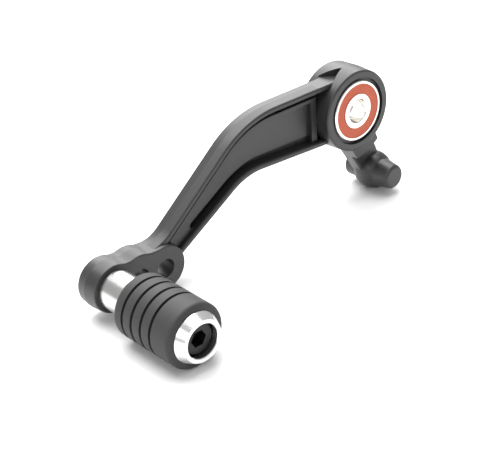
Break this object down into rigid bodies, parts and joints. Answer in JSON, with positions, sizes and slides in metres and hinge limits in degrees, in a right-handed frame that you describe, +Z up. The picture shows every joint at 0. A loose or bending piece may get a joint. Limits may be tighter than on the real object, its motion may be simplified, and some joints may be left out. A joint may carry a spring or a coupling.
{
  "type": "gear shift lever",
  "caption": "Forged bell-crank shift lever on paired sealed ball bearings, with a row of threaded peg holes, a ribbed rubber toe peg and a link boss below the hub.",
  "frame": {"origin": "on the pivot axis, in the front face of the hub", "axes": "+X forward along the lever towards the toe peg, +Y outward along the pivot axis and the toe peg, +Z up"},
  "size_m": [0.1644, 0.0671, 0.0613],
  "materials": {
    "forging": "black anodised forging, satin",
    "turned_steel": "bright turned",
    "turned_aluminium": "bright turned",
    "black_screw": "black oxide",
    "grip_rubber": "matte moulded",
    "ring_steel": "ground and polished",
    "ball_steel": "polished",
    "cage_steel": "pressed strip",
    "seal_rubber": "red-orange moulded"
  },
  "bodies": {
    "lever": {"lever_arm": "forging", "front_outer_ring": "ring_steel", "front_outer_seal": "seal_rubber", "front_inner_seal": "seal_rubber", "rear_outer_ring": "ring_steel", "rear_outer_seal": "seal_rubber", "rear_inner_seal": "seal_rubber", "peg_sleeve": "turned_steel", "peg_cap": "turned_aluminium", "peg_screw": "black_screw", "peg_grip": "grip_rubber"},
    "inner_rings": {"front_inner_ring": "ring_steel", "rear_inner_ring": "ring_steel", "bearing_spacer": "ring_steel"},
    "front_balls": {"front_cage": "cage_steel", "front_ball_1": "ball_steel", "front_ball_2": "ball_steel", "front_ball_3": "ball_steel", "front_ball_4": "ball_steel", "front_ball_5": "ball_steel", "front_ball_6": "ball_steel", "front_ball_7": "ball_steel"},
    "rear_balls": {"rear_cage": "cage_steel", "rear_ball_1": "ball_steel", "rear_ball_2": "ball_steel", "rear_ball_3": "ball_steel", "rear_ball_4": "ball_steel", "rear_ball_5": "ball_steel", "rear_ball_6": "ball_steel", "rear_ball_7": "ball_steel"}
  },
  "joints": [
    {"name": "pivot", "type": "hinge", "parent": "lever", "child": "inner_rings", "pos_m": [0, -0.0085, 0], "axis": [0, 1, 0], "continuous": true},
    {"name": "front_cage_turn", "type": "hinge", "parent": "lever", "child": "front_balls", "pos_m": [0, -0.004, 0], "axis": [0, 1, 0], "continuous": true},
    {"name": "rear_cage_turn", "type": "hinge", "parent": "lever", "child": "rear_balls", "pos_m": [0, -0.013, 0], "axis": [0, 1, 0], "continuous": true}
  ],
  "couplings": [
    {"joint": "front_cage_turn", "follows": "pivot", "ratio": 0.3677},
    {"joint": "rear_cage_turn", "follows": "pivot", "ratio": 0.3677}
  ]
}
